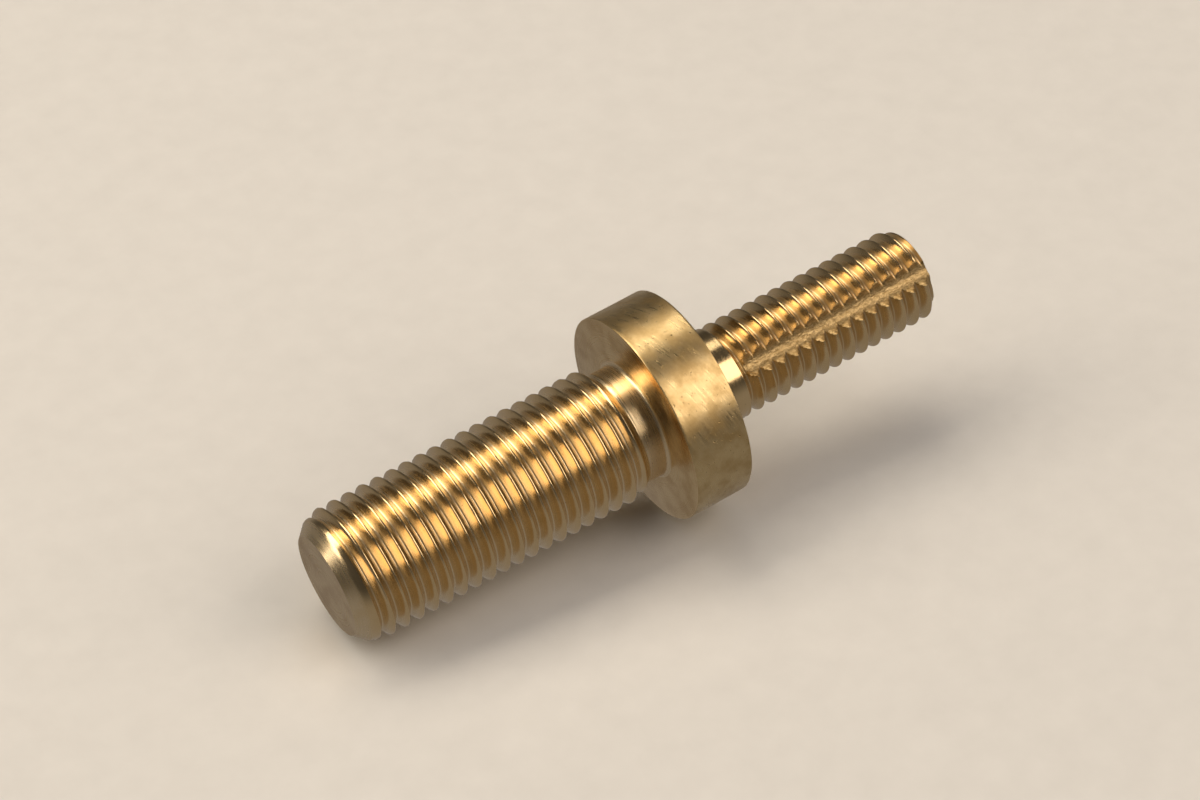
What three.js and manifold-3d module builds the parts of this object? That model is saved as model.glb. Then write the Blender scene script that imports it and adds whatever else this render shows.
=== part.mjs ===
// Double-ended brass adapter stud, turned in one piece from round bar.
// A large fine thread and a small thread stand on either side of a plain round collar, and a
// longitudinal groove is milled through the small thread so that air can pass along it.
//
// Millimetres, +Z up. The stud lies along +X. The origin is the centre of the large end's flat
// face, and +X runs from the large thread through the collar to the tip of the small thread.
// Clock angles turn about +X by the right-hand rule, from +Y at 0 towards +Z at 90 degrees.

import * as THREE from 'three';
import { mergeVertices } from 'three/addons/utils/BufferGeometryUtils.js';
import Module from 'manifold-3d';

// Large threaded end
const LARGE_MAJOR_D = 11.1;
const LARGE_PITCH = 1.27;
const LARGE_THREAD_LENGTH = 25.8; // end face to the neck
const LARGE_END_FACE_D = 8.4; // what the 45 degree end chamfer leaves flat
const LARGE_CREST_CLOCK = 171.8; // where the crest would cross the end face

// Neck between the large thread and the collar
const NECK_LENGTH = 2.0;
const NECK_FILLET = 0.3;

// Collar, left at the size of the bar
const COLLAR_D = 17.5;
const COLLAR_THICKNESS = 5.0;

// Small threaded end
const SMALL_MAJOR_D = 7.9;
const SMALL_PITCH = 1.25;
const SMALL_END_LENGTH = 21.5; // back of the collar to the tip
const SHANK_LENGTH = 2.6; // plain stretch before the thread's first turn
const TIP_FACE_D = 5.9;
const TIP_LEAD_LENGTH = 1.8; // length of the tapered lead
const SMALL_CREST_CLOCK = 339.9; // where the crest would cross the collar's back face

// Groove along the small thread
const GROOVE_WIDTH = 2.0; // the round-nosed cutter's diameter
const GROOVE_DEPTH = 0.9; // below the crests
const GROOVE_SETBACK = 3.7; // back of the collar to the groove's round start
const GROOVE_CLOCK = 139.5;

// Thread form: 60 degree flanks, a crest flat of P/8 and a root flat of P/6
const FLANK_SLOPE = Math.tan(Math.PI / 6); // axial travel of a flank per radial travel
const CREST_FLAT = 1 / 8;
const ROOT_FLAT = 1 / 6;

// Faceting and clearances
const LARGE_SIDES = 28;
const SMALL_SIDES = 24;
const RUNOUT_TURNS = 0.6; // how far the die or tool takes to come out of the small thread
const CUT_OVER = 0.05; // how far a thread cutter stands above the crests
const FILLET_STEPS = 3;

const BRASS = { color: 0xc79a4e, metalness: 1, roughness: 0.28 };

const threadDepth = (pitch) => (pitch * (1 - CREST_FLAT - ROOT_FLAT)) / (2 * FLANK_SLOPE);

const largeR = LARGE_MAJOR_D / 2;
const smallR = SMALL_MAJOR_D / 2;
const collarR = COLLAR_D / 2;
const neckR = largeR - threadDepth(LARGE_PITCH);
const collarFront = LARGE_THREAD_LENGTH + NECK_LENGTH;
const collarBack = collarFront + COLLAR_THICKNESS;
const tipX = collarBack + SMALL_END_LENGTH;

const wasm = await Module();
wasm.setup();

// Turns a closed three.js geometry into a solid that can be joined and cut.
function toSolid(geometry) {
  const bare = geometry.index ? geometry.clone() : geometry;
  bare.deleteAttribute('normal');
  bare.deleteAttribute('uv');
  const merged = mergeVertices(bare, 1e-5);
  return new wasm.Manifold(new wasm.Mesh({
    numProp: 3,
    vertProperties: new Float32Array(merged.attributes.position.array),
    triVerts: new Uint32Array(merged.index.array),
  }));
}

function toGeometry(solid) {
  const { vertProperties, triVerts } = solid.getMesh();
  const geometry = new THREE.BufferGeometry();
  geometry.setAttribute('position', new THREE.BufferAttribute(vertProperties, 3));
  geometry.setIndex(new THREE.BufferAttribute(triVerts, 1));
  return geometry;
}

// Round shapes are faceted with a flat facing straight down, so that the stud can rest on it.
// Radii are measured to the middle of the flats, and the edges between them stand out further.
const edgeR = (radius, sides) => radius / Math.cos(Math.PI / sides);
const edgeAngle = (index, sides) => ((index + 0.5) * 2 * Math.PI) / sides;

// Spins a profile of [x, radius] points about the X axis.
function turned(profile, sides) {
  const points = profile.map(([x, radius]) => new THREE.Vector2(edgeR(radius, sides), x));
  const geometry = new THREE.LatheGeometry(points, sides, edgeAngle(0, sides));
  geometry.rotateZ(-Math.PI / 2); // the lathe's Y axis becomes X
  return toSolid(geometry);
}

// A right-hand helical bar of the shape that a thread cutter removes. Its edges fall on the same
// clock angles as those of a blank with as many sides. crestX is where the crest meets clock
// angle 0, from and to are where the bar's middle starts and ends, and the first runoutTurns
// rise out of the work.
function threadCutter({ majorR, pitch, sides, crestX, from, to, runoutTurns = 0 }) {
  const rootR = majorR - threadDepth(pitch);
  const step = pitch / sides;
  const grooveX = crestX + pitch / 2;
  const first = Math.floor((from - grooveX) / step);
  const last = Math.ceil((to - grooveX) / step);
  const bar = new THREE.BoxGeometry(1, 1, 1, last - first, 2, 1);
  const position = bar.attributes.position;
  for (let i = 0; i < position.count; i += 1) {
    const along = Math.round((position.getX(i) + 0.5) * (last - first));
    const angle = edgeAngle(first + along, sides);
    const rise = runoutTurns > 0 ? Math.max(0, 1 - along / (sides * runoutTurns)) : 0;
    const cutR = rootR + rise * (majorR - rootR);
    const level = position.getY(i) * 2;
    const radius = level < 0 ? cutR : majorR + level * CUT_OVER;
    const width = pitch * ROOT_FLAT + 2 * (Math.min(radius, majorR) - cutR) * FLANK_SLOPE;
    const x = grooveX + (angle / (2 * Math.PI)) * pitch - position.getZ(i) * width;
    const reach = edgeR(radius, sides);
    position.setXYZ(i, x, reach * Math.cos(angle), reach * Math.sin(angle));
  }
  return toSolid(bar);
}

// Where a crest that crosses plane x at the given clock angle meets clock angle 0.
const crestAtZero = (x, clock, pitch) => x - (clock / 360) * pitch;

// The large end's blank: end chamfer, thread length, shoulder chamfer and neck
function largeEnd() {
  const endFaceR = LARGE_END_FACE_D / 2;
  const shoulder = largeR - neckR;
  const blank = turned([
    [0, 0],
    [0, endFaceR],
    [largeR - endFaceR, largeR],
    [LARGE_THREAD_LENGTH - shoulder, largeR],
    [LARGE_THREAD_LENGTH, neckR],
    [collarFront + COLLAR_THICKNESS / 2, neckR],
    [collarFront + COLLAR_THICKNESS / 2, 0],
  ], LARGE_SIDES);
  return blank.subtract(threadCutter({
    majorR: largeR,
    pitch: LARGE_PITCH,
    sides: LARGE_SIDES,
    crestX: crestAtZero(0, LARGE_CREST_CLOCK, LARGE_PITCH),
    from: -LARGE_PITCH,
    to: LARGE_THREAD_LENGTH + Math.min(LARGE_PITCH, NECK_LENGTH) / 2,
  }));
}

// The collar, with the fillet that blends the neck into its front face
function collar() {
  const fillet = [];
  for (let i = 0; i <= FILLET_STEPS; i += 1) {
    const angle = (i / FILLET_STEPS) * (Math.PI / 2);
    const x = collarFront - NECK_FILLET * (1 - Math.sin(angle));
    fillet.push([x, neckR + NECK_FILLET * (1 - Math.cos(angle))]);
  }
  return turned([
    [collarFront - NECK_FILLET, 0],
    ...fillet,
    [collarFront, collarR],
    [collarBack, collarR],
    [collarBack, 0],
  ], LARGE_SIDES);
}

// The small end's blank: plain shank, thread length and tapered tip
function smallEnd() {
  const blank = turned([
    [collarFront + COLLAR_THICKNESS / 2, 0],
    [collarFront + COLLAR_THICKNESS / 2, smallR],
    [tipX - TIP_LEAD_LENGTH, smallR],
    [tipX, TIP_FACE_D / 2],
    [tipX, 0],
  ], SMALL_SIDES);
  const threaded = blank.subtract(threadCutter({
    majorR: smallR,
    pitch: SMALL_PITCH,
    sides: SMALL_SIDES,
    crestX: crestAtZero(collarBack, SMALL_CREST_CLOCK, SMALL_PITCH),
    from: collarBack + SHANK_LENGTH,
    to: tipX + SMALL_PITCH,
    runoutTurns: RUNOUT_TURNS,
  }));
  return threaded.subtract(grooveCutter());
}

// The round-nosed path of the milling cutter that runs out through the tip
function grooveCutter() {
  const cutterR = GROOVE_WIDTH / 2;
  const start = collarBack + GROOVE_SETBACK;
  const end = tipX + GROOVE_WIDTH * 2;
  const path = new THREE.CapsuleGeometry(cutterR, end - start - GROOVE_WIDTH, 4, 16, 1);
  path.rotateZ(-Math.PI / 2);
  path.translate((start + end) / 2, smallR - GROOVE_DEPTH + cutterR, 0);
  path.rotateX(THREE.MathUtils.degToRad(GROOVE_CLOCK));
  return toSolid(path);
}

const stud = new THREE.Mesh(
  toGeometry(largeEnd().add(collar()).add(smallEnd())),
  new THREE.MeshStandardMaterial(BRASS),
);
stud.name = 'adapter_stud';

const adapter = new THREE.Group();
adapter.add(stud);

export default adapter;
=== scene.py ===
"""A double-ended brass adapter stud, lying on its side on a pale table."""
import math
from collections import namedtuple

import bmesh
import bpy
from mathutils import Matrix, Vector, noise


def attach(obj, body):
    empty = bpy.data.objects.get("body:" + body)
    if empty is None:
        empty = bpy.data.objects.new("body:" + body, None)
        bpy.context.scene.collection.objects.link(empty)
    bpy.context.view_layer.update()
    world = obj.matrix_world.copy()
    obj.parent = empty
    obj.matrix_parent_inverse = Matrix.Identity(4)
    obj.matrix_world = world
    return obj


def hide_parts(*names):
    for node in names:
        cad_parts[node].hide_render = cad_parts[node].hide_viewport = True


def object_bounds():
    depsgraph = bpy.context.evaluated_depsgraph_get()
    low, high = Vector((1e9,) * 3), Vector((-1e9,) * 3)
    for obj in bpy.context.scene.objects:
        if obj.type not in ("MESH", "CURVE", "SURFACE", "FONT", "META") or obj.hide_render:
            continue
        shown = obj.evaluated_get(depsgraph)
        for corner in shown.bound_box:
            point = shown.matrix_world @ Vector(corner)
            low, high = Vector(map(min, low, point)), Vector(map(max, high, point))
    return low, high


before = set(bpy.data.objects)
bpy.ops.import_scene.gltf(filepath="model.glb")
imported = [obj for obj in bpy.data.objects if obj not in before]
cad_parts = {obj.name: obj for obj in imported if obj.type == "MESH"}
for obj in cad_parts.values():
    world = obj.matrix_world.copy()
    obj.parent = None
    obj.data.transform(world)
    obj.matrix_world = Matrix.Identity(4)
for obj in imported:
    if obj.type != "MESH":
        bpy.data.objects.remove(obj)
cad_low, cad_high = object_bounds()


# The view. The stud is seen from its large end, a little to the left and well above, with a
# long lens, so that the axis climbs to the right across the picture.
VIEW_FROM = Vector((-0.05409, -0.15636, 0.18308))
VIEW_RIGHT = Vector((0.83630, -0.53888, -0.10107))
VIEW_UP = Vector((0.44824, 0.56584, 0.69202))

lens = bpy.data.cameras.new("long_lens")
lens.sensor_width = 36
lens.lens = 98.13
lens.clip_start = 0.01
lens.clip_end = 10
camera = bpy.data.objects.new("camera", lens)
bpy.context.scene.collection.objects.link(camera)
facing = Matrix((VIEW_RIGHT, VIEW_UP, VIEW_RIGHT.cross(VIEW_UP))).transposed().to_4x4()
camera.matrix_world = Matrix.Translation(VIEW_FROM) @ facing
bpy.context.scene.camera = camera


# The large threaded end. Turned down from brass bar, chamfered at 45 degrees, and threaded with
# a single-point tool, which leaves 60 degree flanks with slightly rounded crests and roots and
# runs out over a small shoulder onto the neck. Sizes are millimetres along and out from the axis.
MM = 0.001
LARGE_RADIUS = 5.55
LARGE_PITCH = 1.27
LARGE_CREST_X = 0.664  # where the crest meets clock angle 0, on +Y
LARGE_STEPS = 112  # faces round one turn
END_FACE_RADIUS = 4.2
CHAMFER_LENGTH = 0.9
SECOND_TAPER = 0.35  # how steeply the end widens behind its chamfer
CUT_IN_START = 1.1
CUT_IN_LENGTH = 0.8  # how far the thread takes to reach its full depth
NECK_RADIUS = 4.76
NECK_START = 26.2
RUNOUT_LENGTH = 1.3
BROAD_WAVE, TIGHT_WAVE = 0.02, 0.05  # how uneven the thread's height is
COLLAR_FRONT = 27.8
NECK_FILLET = 0.3
DEPTH_PER_PITCH = 0.6134
WELD = 0.002  # how near two corners have to be to become one


def arc(centre_x, centre_r, radius, start, end, steps):
    """Points (x, r) on an arc, with angles in degrees from +x at 0 to straight out at 90."""
    angles = [math.radians(start + (end - start) * i / steps) for i in range(steps + 1)]
    return [(centre_x + radius * math.cos(a), centre_r + radius * math.sin(a)) for a in angles]


def thread_outline(crest_r, pitch, crest_flat, crest_round, root_round):
    """One pitch of thread, from mid crest to mid crest, as (x, r) points.

    crest_flat is a share of the pitch, and the two roundings are radii.
    """
    root_r = crest_r - DEPTH_PER_PITCH * pitch
    crest = arc(pitch * crest_flat / 2, crest_r - crest_round, crest_round, 90, 30, 3)
    root = arc(pitch / 2, root_r + root_round, root_round, 210, 270, 3)
    top, foot = crest[-1], root[0]
    flank = [(top[0] + (foot[0] - top[0]) * i / 3, top[1] + (foot[1] - top[1]) * i / 3)
             for i in (1, 2)]
    half = [(0, crest_r)] + crest + flank + root
    return half + [(pitch - x, r) for x, r in reversed(half[:-1])]


def share(value):
    """A value held between 0 and 1."""
    return min(1, max(0, value))


def threaded(outline, pitch, crest_x, start, end, steps, reshape, crowd=None):
    """A thread as an open tube from start to end. One turn is spun along its helix and repeated.

    crowd takes a clock angle and returns how far to turn a point there, to bring more of the
    faces to where something is cut. reshape takes a point's x, radius and clock angle, and
    returns the radius that it has in the end.
    """
    shape = bmesh.new()
    lead = crest_x + pitch * math.floor((start - crest_x) / pitch - 1)
    points = [shape.verts.new((x + lead, r, 0)) for x, r in outline]
    edges = [shape.edges.new(pair) for pair in zip(points, points[1:])]
    bmesh.ops.spin(shape, geom=points + edges, axis=(1, 0, 0), cent=(0, 0, 0), angle=2 * math.pi,
                   steps=steps, dvec=(pitch / steps, 0, 0))
    turn = shape.verts[:] + shape.edges[:] + shape.faces[:]
    for number in range(1, math.ceil((end - lead) / pitch) + 1):
        copied = bmesh.ops.duplicate(shape, geom=turn)
        verts = [v for v in copied["geom"] if isinstance(v, bmesh.types.BMVert)]
        bmesh.ops.translate(shape, verts=verts, vec=(pitch * number, 0, 0))
    bmesh.ops.remove_doubles(shape, verts=shape.verts, dist=WELD)
    for v in shape.verts:
        radius = math.hypot(v.co.y, v.co.z)
        clock = math.atan2(v.co.z, v.co.y)
        if crowd:
            shift = crowd(clock)
            clock += shift
            v.co.x += pitch * shift / (2 * math.pi)
        radius = reshape(v.co.x, radius, clock)
        v.co.y = radius * math.cos(clock)
        v.co.z = radius * math.sin(clock)
    for cut, outward in ((start, -1), (end, 1)):
        bmesh.ops.bisect_plane(shape, geom=shape.verts[:] + shape.edges[:] + shape.faces[:],
                               plane_co=(cut, 0, 0), plane_no=(outward, 0, 0), clear_outer=True)
    return shape


def close_end(shape, x):
    """Fills the tube's open end at x with one flat face."""
    rim = [e for e in shape.edges
           if e.is_boundary and all(abs(v.co.x - x) < 1e-3 for v in e.verts)]
    bmesh.ops.contextual_create(shape, geom=rim)


def large_end_radius(x, radius, clock):
    """Fades the thread in behind its end chamfer and out on the neck, with a little waviness."""
    behind = max(0, x - CHAMFER_LENGTH)
    chamfer = END_FACE_RADIUS + min(x, CHAMFER_LENGTH) + SECOND_TAPER * behind
    spot = Vector((x, radius * math.cos(clock), radius * math.sin(clock)))
    height = max(0, radius - NECK_RADIUS)
    broad, tight = noise.noise(spot * 0.9), noise.noise(spot * 4)
    radius += height * BROAD_WAVE * broad + height ** 3 * TIGHT_WAVE * tight
    fade = share((NECK_START - x) / RUNOUT_LENGTH)
    radius = min(NECK_RADIUS + (radius - NECK_RADIUS) * fade, chamfer)
    cut_in = share((x - CUT_IN_START) / CUT_IN_LENGTH)
    return radius + (min(chamfer, LARGE_RADIUS) - radius) * (1 - cut_in) ** 2


outline = thread_outline(LARGE_RADIUS - 0.012, LARGE_PITCH, crest_flat=0.03, crest_round=0.075,
                         root_round=0.13)
large_end = threaded(outline, LARGE_PITCH, LARGE_CREST_X, 0, COLLAR_FRONT - NECK_FILLET,
                     LARGE_STEPS, large_end_radius)
close_end(large_end, 0)


# The small threaded end. A plain shank next to the collar, then a thread that fades in over a
# short way, a rounded lead and a flat tip. A round-nosed cutter has milled a groove along it,
# which starts short of the collar, goes down to the roots, and is left torn and rough.
SMALL_RADIUS = 3.95
SMALL_PITCH = 1.25
SMALL_CREST_X = 0.3697
SMALL_STEPS = 96
COLLAR_BACK = 32.8
SHANK_FILLET = 0.25
THREAD_START = 35.75
THREAD_FADE = 0.4
TIP = cad_high.x / MM - 0.001
TIP_RADIUS = 2.95
LEAD_LENGTH = 1.25
LEAD_POWER = 2.2  # a higher power gives a blunter shoulder
GROOVE_RADIUS = 1.0
GROOVE_AXIS = SMALL_RADIUS + 0.1  # how far out the cutter's middle ran
GROOVE_START = 37.3
GROOVE_CLOCK = math.radians(139.5)
CROWDING = 0.8  # makes the mesh five times as fine at the groove
BROAD_TEAR, FINE_TEAR = 0.03, 0.02  # how rough the groove's floor is
BURR_REACH = 0.35  # how far beside the cutter's path its lip is thrown up, in mm squared
BURR_HEIGHT = 0.025
START_BURR_HEIGHT = 0.075  # at the groove's round start


def towards_groove(clock):
    """How far to turn a point to crowd the mesh at the groove."""
    return -CROWDING * math.sin(clock - GROOVE_CLOCK)


def small_end_radius(x, radius, clock):
    """Fades the thread out on the shank, and takes away the tip's lead and the groove."""
    fade = share((THREAD_START + THREAD_FADE - x) / THREAD_FADE)
    radius += (SMALL_RADIUS - radius) * fade
    into_lead = share(1 - (TIP - x) / LEAD_LENGTH)
    lead = TIP_RADIUS + (SMALL_RADIUS - TIP_RADIUS) * math.sqrt(1 - into_lead ** LEAD_POWER)
    radius = min(radius, lead, SMALL_RADIUS)
    across = math.cos(clock - GROOVE_CLOCK)
    before = max(0, GROOVE_START - x)
    inside = (GROOVE_AXIS * across) ** 2 - GROOVE_AXIS ** 2 + GROOVE_RADIUS ** 2 - before ** 2
    if inside > 0 and across > 0:
        spot = Vector((x * 1.2, radius * math.cos(clock) * 4, radius * math.sin(clock) * 4))
        torn = BROAD_TEAR * noise.noise(spot * 1.7) + FINE_TEAR * noise.noise(spot * 4.1)
        radius = min(radius, GROOVE_AXIS * across - math.sqrt(inside) + torn)
    elif inside > -BURR_REACH and across > 0 and radius > TIP_RADIUS + 0.3:
        ragged = 0.6 + noise.noise(Vector((x * 3, clock * 9, 2)))
        burr = START_BURR_HEIGHT if before > 0.2 else BURR_HEIGHT
        radius += burr * (1 + inside / BURR_REACH) * ragged
    return radius


outline = thread_outline(SMALL_RADIUS - 0.005, SMALL_PITCH, crest_flat=0.03, crest_round=0.06,
                         root_round=0.12)
small_end = threaded(outline, SMALL_PITCH, SMALL_CREST_X, COLLAR_BACK + SHANK_FILLET, TIP,
                     SMALL_STEPS, small_end_radius, towards_groove)
close_end(small_end, TIP)


# The collar. It keeps the bar's own size round the outside, and has been faced on both sides
# with its corners just broken. A small fillet from the tool's nose joins it to the neck in front
# and to the shank behind, so that the whole stud is one closed skin.
COLLAR_RADIUS = cad_high.z / MM - 0.002
COLLAR_STEPS = 176
CORNER = 0.07
RIM_ROWS = 40
SHARP_ANGLE = math.radians(32)

rim_length = COLLAR_BACK - COLLAR_FRONT - 2 * CORNER
section = arc(COLLAR_FRONT - NECK_FILLET, NECK_RADIUS + NECK_FILLET, NECK_FILLET, 275, 360, 6)
section += arc(COLLAR_FRONT + CORNER, COLLAR_RADIUS - CORNER, CORNER, 180, 90, 3)
section += [(COLLAR_FRONT + CORNER + rim_length * i / RIM_ROWS, COLLAR_RADIUS)
            for i in range(1, RIM_ROWS)]
section += arc(COLLAR_BACK - CORNER, COLLAR_RADIUS - CORNER, CORNER, 90, 0, 3)
section += arc(COLLAR_BACK + SHANK_FILLET, SMALL_RADIUS + SHANK_FILLET, SHANK_FILLET, 180, 265, 5)
whole = bmesh.new()
points = [whole.verts.new((x, 0, r)) for x, r in section]
edges = [whole.edges.new(pair) for pair in zip(points, points[1:])]
bmesh.ops.spin(whole, geom=points + edges, axis=(1, 0, 0), cent=(0, 0, 0), angle=2 * math.pi,
               steps=COLLAR_STEPS, use_merge=True)
for end in (large_end, small_end):
    mesh = bpy.data.meshes.new("threaded_end")
    end.to_mesh(mesh)
    end.free()
    whole.from_mesh(mesh)
    bpy.data.meshes.remove(mesh)
middle = (COLLAR_FRONT + COLLAR_BACK) / 2
for side in (-1, 1):
    seam = [e for e in whole.edges if e.is_boundary and (e.verts[0].co.x - middle) * side > 0]
    bmesh.ops.bridge_loops(whole, edges=seam)
bmesh.ops.recalc_face_normals(whole, faces=whole.faces)
for face in whole.faces:
    face.smooth = True
for edge in whole.edges:
    edge.smooth = edge.calc_face_angle(0) < SHARP_ANGLE
bmesh.ops.scale(whole, verts=whole.verts, vec=(MM, MM, MM))
mesh = bpy.data.meshes.new("turned_stud")
whole.to_mesh(mesh)
whole.free()
stud = bpy.data.objects.new("turned_stud", mesh)
bpy.context.scene.collection.objects.link(stud)


# The brass. Free-cutting brass, a little cloudy and with a few dark specks. Each surface shows how
# it was made: feed lines on what was turned, rings on what was faced, scratches and pits in the
# bar's own drawn skin, and torn metal in the groove.
Place = namedtuple("Place", "along y z out clock")


def from_hex(colour):
    """An sRGB hex colour as the linear value that a shader socket takes."""
    values = [int(colour[i:i + 2], 16) / 255 for i in (1, 3, 5)]
    return [v / 12.92 if v <= 0.04045 else ((v + 0.055) / 1.055) ** 2.4 for v in values] + [1]


def add(tree, kind, inputs, **settings):
    """Adds a shader node and returns it. An input is a plain value or another node's output."""
    node = tree.nodes.new("ShaderNode" + kind)
    for key, value in settings.items():
        setattr(node, key, value)
    for key, value in inputs.items():
        if isinstance(value, bpy.types.NodeSocket):
            tree.links.new(value, node.inputs[key])
        else:
            node.inputs[key].default_value = value
    return node


def maths(tree, operation, first, second=0.0):
    return add(tree, "Math", {0: first, 1: second}, operation=operation).outputs[0]


def ramp(tree, value, low, high, to_low=0.0, to_high=1.0):
    """Maps a value from low and high to two others, smoothly, and holds it beyond them."""
    inputs = {"Value": value, "From Min": low, "From Max": high, "To Min": to_low,
              "To Max": to_high}
    return add(tree, "MapRange", inputs, interpolation_type="SMOOTHSTEP").outputs["Result"]


def mixed(tree, amount, first, second):
    """Blends two colours, given as hex strings or as node outputs."""
    pair = [from_hex(c) if isinstance(c, str) else c for c in (first, second)]
    node = add(tree, "Mix", {0: amount, 6: pair[0], 7: pair[1]}, data_type="RGBA")
    return node.outputs[2]


def start_brass(name):
    """A new brass material, its tree, and the place on the stud: lengths in mm and an angle."""
    material = bpy.data.materials.new(name)
    material.use_nodes = True
    tree = material.node_tree
    place = add(tree, "TexCoord", {}).outputs["Object"]
    scaled = add(tree, "VectorMath", {0: place, "Scale": 1 / MM}, operation="SCALE").outputs[0]
    along, y, z = add(tree, "SeparateXYZ", {0: scaled}).outputs
    squares = maths(tree, "ADD", maths(tree, "MULTIPLY", y, y), maths(tree, "MULTIPLY", z, z))
    out = maths(tree, "SQRT", squares)
    return material, tree, Place(along, y, z, out, maths(tree, "ARCTAN2", y, z))


def streaks(tree, lengths, cells, detail, roughness, distortion=0.0):
    """Noise over three lengths in mm, each with its own number of cells per mm."""
    parts = {i: maths(tree, "MULTIPLY", length, scale)
             for i, (length, scale) in enumerate(zip(lengths, cells))}
    inputs = {"Vector": add(tree, "CombineXYZ", parts).outputs[0], "Scale": 1.0,
              "Detail": detail, "Roughness": roughness, "Distortion": distortion}
    return add(tree, "TexNoise", inputs).outputs["Fac"]


def grain(tree, place, cells, detail, roughness):
    """Noise with the same number of cells per mm every way."""
    return streaks(tree, (place.along, place.y, place.z), (cells, cells, cells), detail, roughness)


def finish_brass(tree, colour, roughness, height, relief_mm):
    """Joins a colour, a roughness and a relief of so many mm to the material's metal shader."""
    bump = add(tree, "Bump", {"Strength": 1.0, "Distance": relief_mm * MM, "Height": height})
    inputs = tree.nodes["Principled BSDF"].inputs
    inputs["Metallic"].default_value = 1.0
    tree.links.new(colour, inputs["Base Color"])
    tree.links.new(roughness, inputs["Roughness"])
    tree.links.new(bump.outputs[0], inputs["Normal"])


cut_brass, tree, place = start_brass("cut_brass")
lines = streaks(tree, (place.along, place.y, place.z), (9, 0.35, 0.35), 4, 0.65)
cloud = grain(tree, place, 0.5, 4, 0.6)
speck = grain(tree, place, 5, 2, 0.5)
is_large = maths(tree, "LESS_THAN", place.along, COLLAR_FRONT)
small_height = ramp(tree, place.out, 3.15, 3.75)
large_height = ramp(tree, place.out, 4.78, 5.35)
height = add(tree, "Mix", {0: is_large, 2: small_height, 3: large_height}).outputs[0]
# Painted shade and light in the thread: the colour goes by depth from root to crest, with the roots
# painted darker than the crests on the small end and paler on the large end.
root = mixed(tree, is_large, "#DEC59A", "#EAD5B0")
tone = mixed(tree, height, root, "#E6CB9C")
tone = mixed(tree, ramp(tree, cloud, 0.42, 0.68, 0, 0.45), tone, "#DCC08E")
tone = mixed(tree, ramp(tree, speck, 0.70, 0.78, 0, 0.7), tone, "#6B4420")
root_rough = ramp(tree, is_large, 0.0, 1.0, 0.29, 0.25)
rough = maths(tree, "ADD", ramp(tree, lines, 0.3, 0.7, 0.0, 0.08),
              ramp(tree, height, 0.2, 1.0, root_rough, 0.14))
finish_brass(tree, tone, rough, lines, 0.002)

drawn_skin, tree, place = start_brass("drawn_bar_skin")
arc_mm = maths(tree, "MULTIPLY", place.clock, COLLAR_RADIUS)
slant = maths(tree, "ADD", place.along, maths(tree, "MULTIPLY", arc_mm, 0.30))
scratch = streaks(tree, (slant, arc_mm, place.z), (7, 0.35, 0), 3, 0.7)
fine = streaks(tree, (place.along, arc_mm, place.z), (16, 1.2, 0), 3, 0.6)
cloud = grain(tree, place, 0.6, 4, 0.6)
pit = grain(tree, place, 3.2, 3, 0.7)
tone = mixed(tree, ramp(tree, cloud, 0.35, 0.7), "#DEC594", "#C6A975")
tone = mixed(tree, ramp(tree, pit, 0.64, 0.72, 0, 0.75), tone, "#6A5230")
rough = maths(tree, "ADD", ramp(tree, scratch, 0.3, 0.7, 0.25, 0.38),
              ramp(tree, cloud, 0.4, 0.7, 0, 0.08))
relief = maths(tree, "ADD", maths(tree, "ADD", scratch, maths(tree, "MULTIPLY", fine, 0.5)),
               ramp(tree, pit, 0.62, 0.74, 0, -2.2))
finish_brass(tree, tone, rough, relief, 0.006)

faced_brass, tree, place = start_brass("faced_brass")
rings = streaks(tree, (place.out, place.y, place.z), (7, 0.15, 0.15), 4, 0.65)
cloud = grain(tree, place, 0.5, 4, 0.6)
tone = mixed(tree, ramp(tree, cloud, 0.35, 0.7), "#E4C896", "#CBAA74")
rough = ramp(tree, rings, 0.3, 0.7, 0.17, 0.29)
finish_brass(tree, tone, rough, rings, 0.006)

torn_brass, tree, place = start_brass("torn_brass")
tears = streaks(tree, (place.along, place.y, place.z), (3.5, 7, 7), 4, 0.7, 0.6)
grit = grain(tree, place, 9, 3, 0.6)
tone = mixed(tree, ramp(tree, tears, 0.35, 0.65), "#A58A5C", "#D6BC8C")
rough = ramp(tree, grit, 0.3, 0.7, 0.38, 0.55)
finish_brass(tree, tone, rough, maths(tree, "ADD", tears, maths(tree, "MULTIPLY", grit, 0.7)), 0.02)

for material in (cut_brass, drawn_skin, faced_brass, torn_brass):
    stud.data.materials.append(material)
SKIN, FACED, TORN = 1, 2, 3  # the rest keeps the first, as cut
SQUARE_ON = 0.97  # how nearly along the axis a faced surface looks
TORN_REACH = 0.1  # how far past the cutter's path the metal is torn
for face in stud.data.polygons:
    x, y, z = face.center / MM
    radius = math.hypot(y, z)
    across = math.cos(math.atan2(z, y) - GROOVE_CLOCK)
    from_cutter = math.sqrt(radius ** 2 + GROOVE_AXIS ** 2 - 2 * radius * GROOVE_AXIS * across)
    on_collar = radius > NECK_RADIUS + NECK_FILLET
    on_end = not 0.01 < x < TIP - 0.01
    if radius > COLLAR_RADIUS - CORNER / 2:
        face.material_index = SKIN
    elif abs(face.normal.x) > SQUARE_ON and (on_collar or on_end):
        face.material_index = FACED
    elif x > GROOVE_START - GROOVE_RADIUS and from_cutter < GROOVE_RADIUS + TORN_REACH:
        face.material_index = TORN
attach(stud, "root")
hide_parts("adapter_stud")


# The table. A plain pale sheet, which the stud lies on with its large end and the collar's front
# rim. It is kept out of reflections, so that the metal stays as deep in tone as over dark cloth.
FIRST_CREST_X = 1.35  # where the large end touches the table

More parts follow.
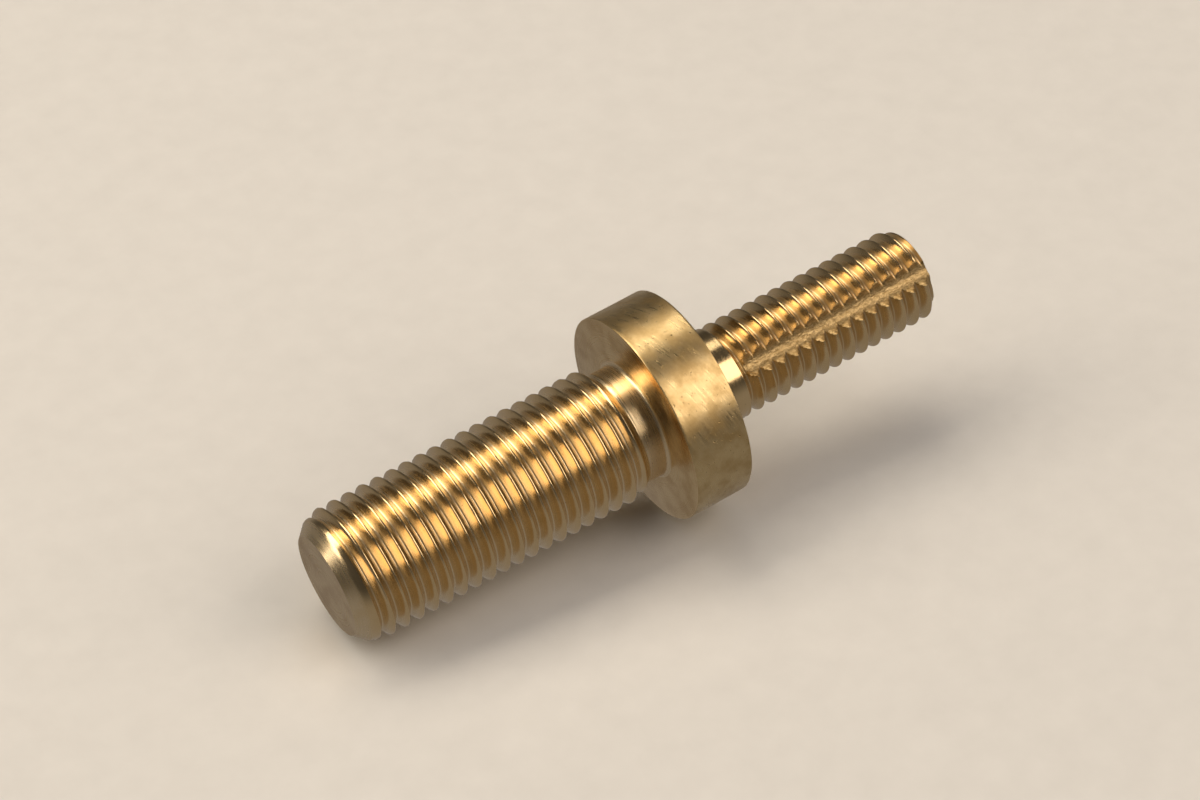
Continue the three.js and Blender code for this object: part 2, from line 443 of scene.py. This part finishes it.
sheet = bmesh.new()
bmesh.ops.create_grid(sheet, x_segments=1, y_segments=1, size=1.5)
tilt = math.atan2(COLLAR_RADIUS - LARGE_RADIUS, COLLAR_FRONT - FIRST_CREST_X)
under_rim = Matrix.Translation((COLLAR_FRONT * MM, 0, -COLLAR_RADIUS * MM))
bmesh.ops.transform(sheet, matrix=under_rim @ Matrix.Rotation(tilt, 4, "Y"), verts=sheet.verts)
mesh = bpy.data.meshes.new("table")
sheet.to_mesh(mesh)
sheet.free()
table = bpy.data.objects.new("table", mesh)
bpy.context.scene.collection.objects.link(table)
table.visible_glossy = False
pale = bpy.data.materials.new("pale_table")
pale.use_nodes = True
tree = pale.node_tree
place = add(tree, "TexCoord", {}).outputs["Object"]
mottle = add(tree, "TexNoise", {"Vector": place, "Scale": 400.0, "Detail": 3.0}).outputs["Fac"]
shader = tree.nodes["Principled BSDF"]
tree.links.new(mixed(tree, mottle, "#CFCDC9", "#D9D7D3"), shader.inputs["Base Color"])
shader.inputs["Roughness"].default_value = 0.85
table.data.materials.append(pale)


# The light. A bright softbox overhead and a little behind gives the thin white lines, a large
# warmer one in front gives the broad golden band below them, and the room around is dim.
STUD_MIDDLE = (0.03, 0, 0)


def softbox(name, lean, turn, distance, width, height, radiance, colour):
    """An area light that faces the stud, with its width along the stud.

    lean is how far it is towards the tip and turn is how far round it is from straight above
    towards the front, both in degrees. Radiance is how bright its surface looks.
    """
    lamp = bpy.data.lights.new(name, "AREA")
    lamp.shape = "RECTANGLE"
    lamp.size, lamp.size_y = width, height
    lamp.energy = math.pi * width * height * radiance
    lamp.color = from_hex(colour)[:3]
    box = bpy.data.objects.new(name, lamp)
    bpy.context.scene.collection.objects.link(box)
    turned = Matrix.Rotation(math.radians(turn), 4, "X")
    leant = Matrix.Rotation(math.radians(lean), 4, "Y")
    away = Matrix.Translation((0, 0, distance))
    box.matrix_world = Matrix.Translation(STUD_MIDDLE) @ (turned @ leant) @ away
    return box


softbox("overhead_box", lean=-22, turn=-28, distance=0.6, width=1.08, height=0.31,
        radiance=3.9, colour="#FFF0DA")
softbox("front_box", lean=36, turn=44, distance=0.7, width=0.60, height=0.58,
        radiance=2.5, colour="#FFEEDA")
fill = softbox("fill_box", lean=0, turn=0, distance=1.6, width=2.5, height=2.5,
               radiance=0.5, colour="#F2F6FF")
fill.visible_glossy = False
room = bpy.data.worlds.new("room")
bpy.context.scene.world = room
room.use_nodes = True
tree = room.node_tree
up = add(tree, "SeparateXYZ", {0: add(tree, "TexCoord", {}).outputs["Generated"]}).outputs[2]
dim = mixed(tree, ramp(tree, up, -0.4, 0.25), "#8C8680", "#464340")
tree.links.new(dim, tree.nodes["Background"].inputs["Color"])
bpy.context.scene.view_settings.view_transform = "Standard"
